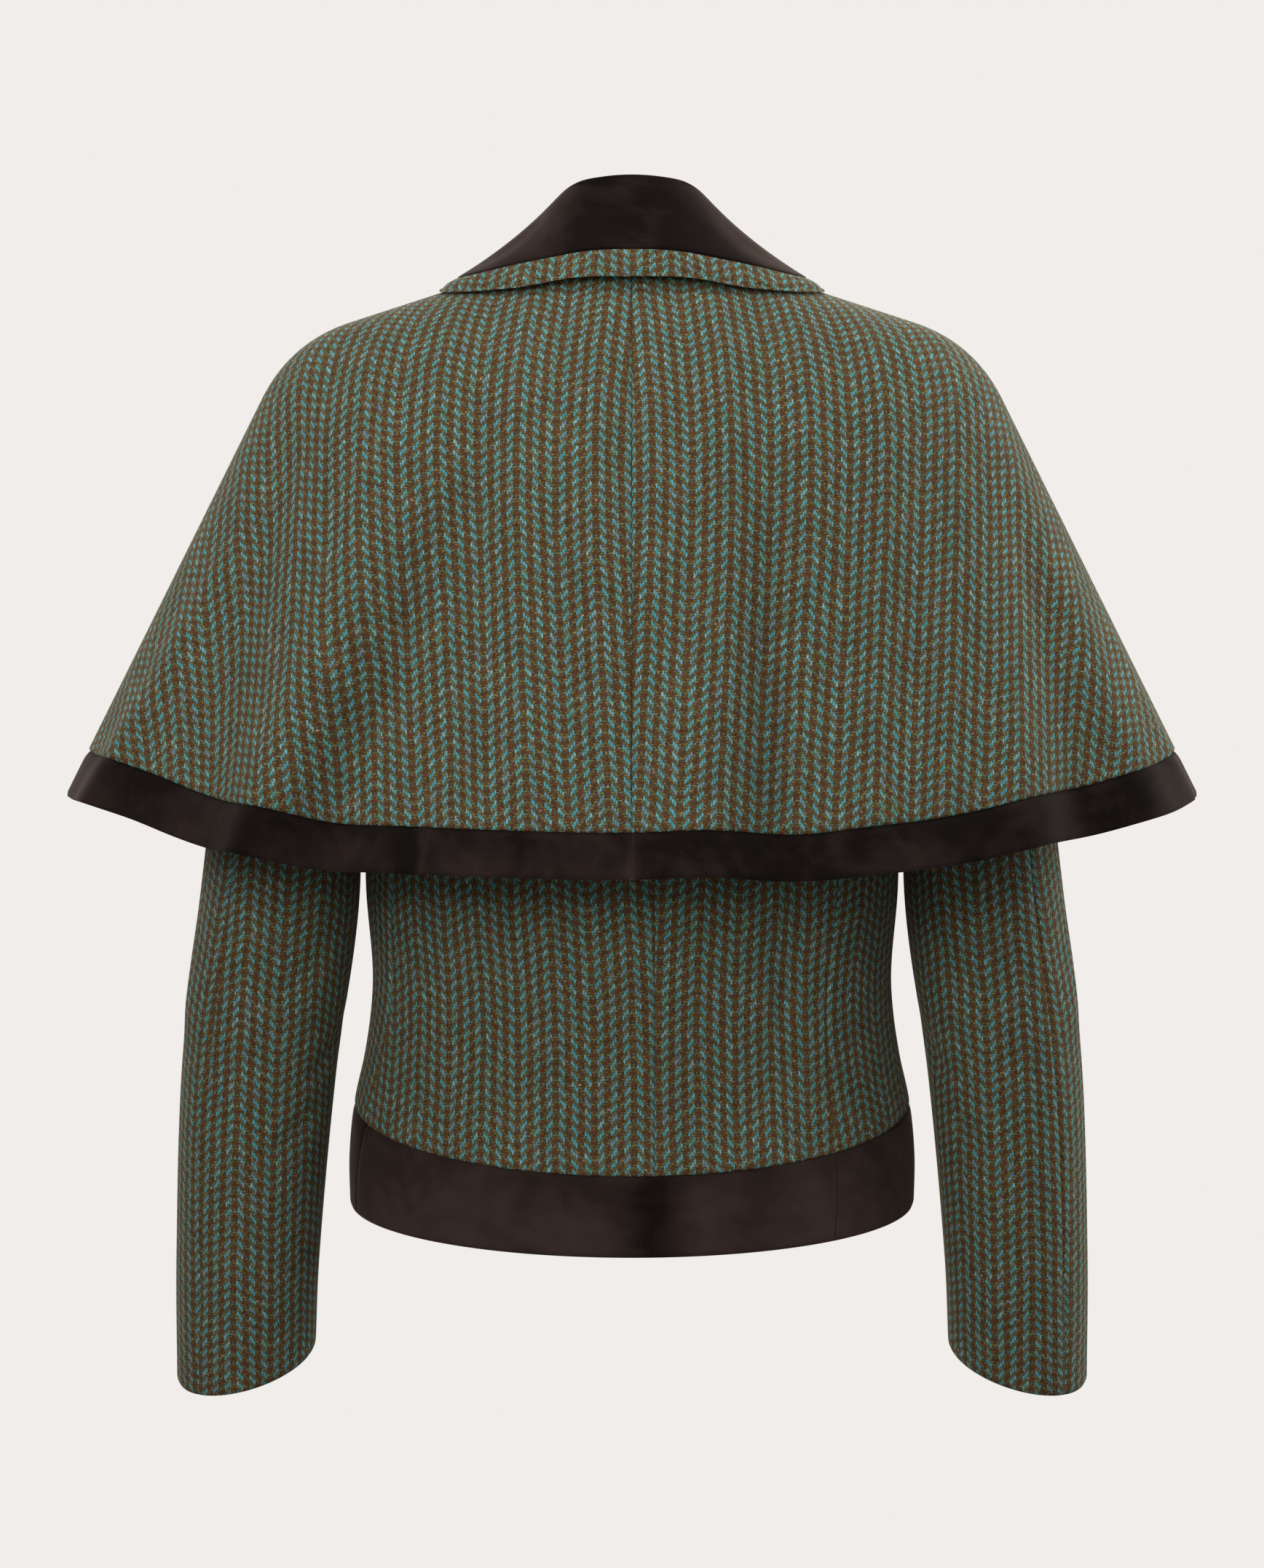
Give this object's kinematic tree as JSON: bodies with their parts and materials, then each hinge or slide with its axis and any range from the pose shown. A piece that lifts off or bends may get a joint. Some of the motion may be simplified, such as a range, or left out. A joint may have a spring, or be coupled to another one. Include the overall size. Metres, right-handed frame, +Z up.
{
  "type": "cape jacket",
  "caption": "Cropped tweed jacket with a shoulder cape, velvet hem bands and a tweed-edged velvet collar, standing as it is worn.",
  "frame": {"origin": "middle of the neck opening, level with the nape of the neck, where the wearer's neck carries the jacket", "axes": "+Z up along the wearer, -Y to the back of the jacket, +X to the wearer's right"},
  "size_m": [0.6732, 0.3181, 0.7166],
  "materials": {
    "tweed": "coarse herringbone tweed in teal, brown and olive",
    "velvet": "dark brown-black velvet"
  },
  "bodies": {
    "root": {"body_back_left": "tweed", "body_back_right": "tweed", "body_side_left": "tweed", "body_side_right": "tweed", "body_front_left": "tweed", "body_front_right": "tweed", "sleeve_under_left": "tweed", "sleeve_under_right": "tweed", "sleeve_upper_left": "tweed", "sleeve_upper_right": "tweed", "cape_left": "tweed", "cape_right": "tweed", "collar_border": "tweed", "hem_band_back": "velvet", "hem_band_left": "velvet", "hem_band_right": "velvet", "cape_band_left": "velvet", "cape_band_right": "velvet", "collar_velvet": "velvet"}
  },
  "joints": []
}
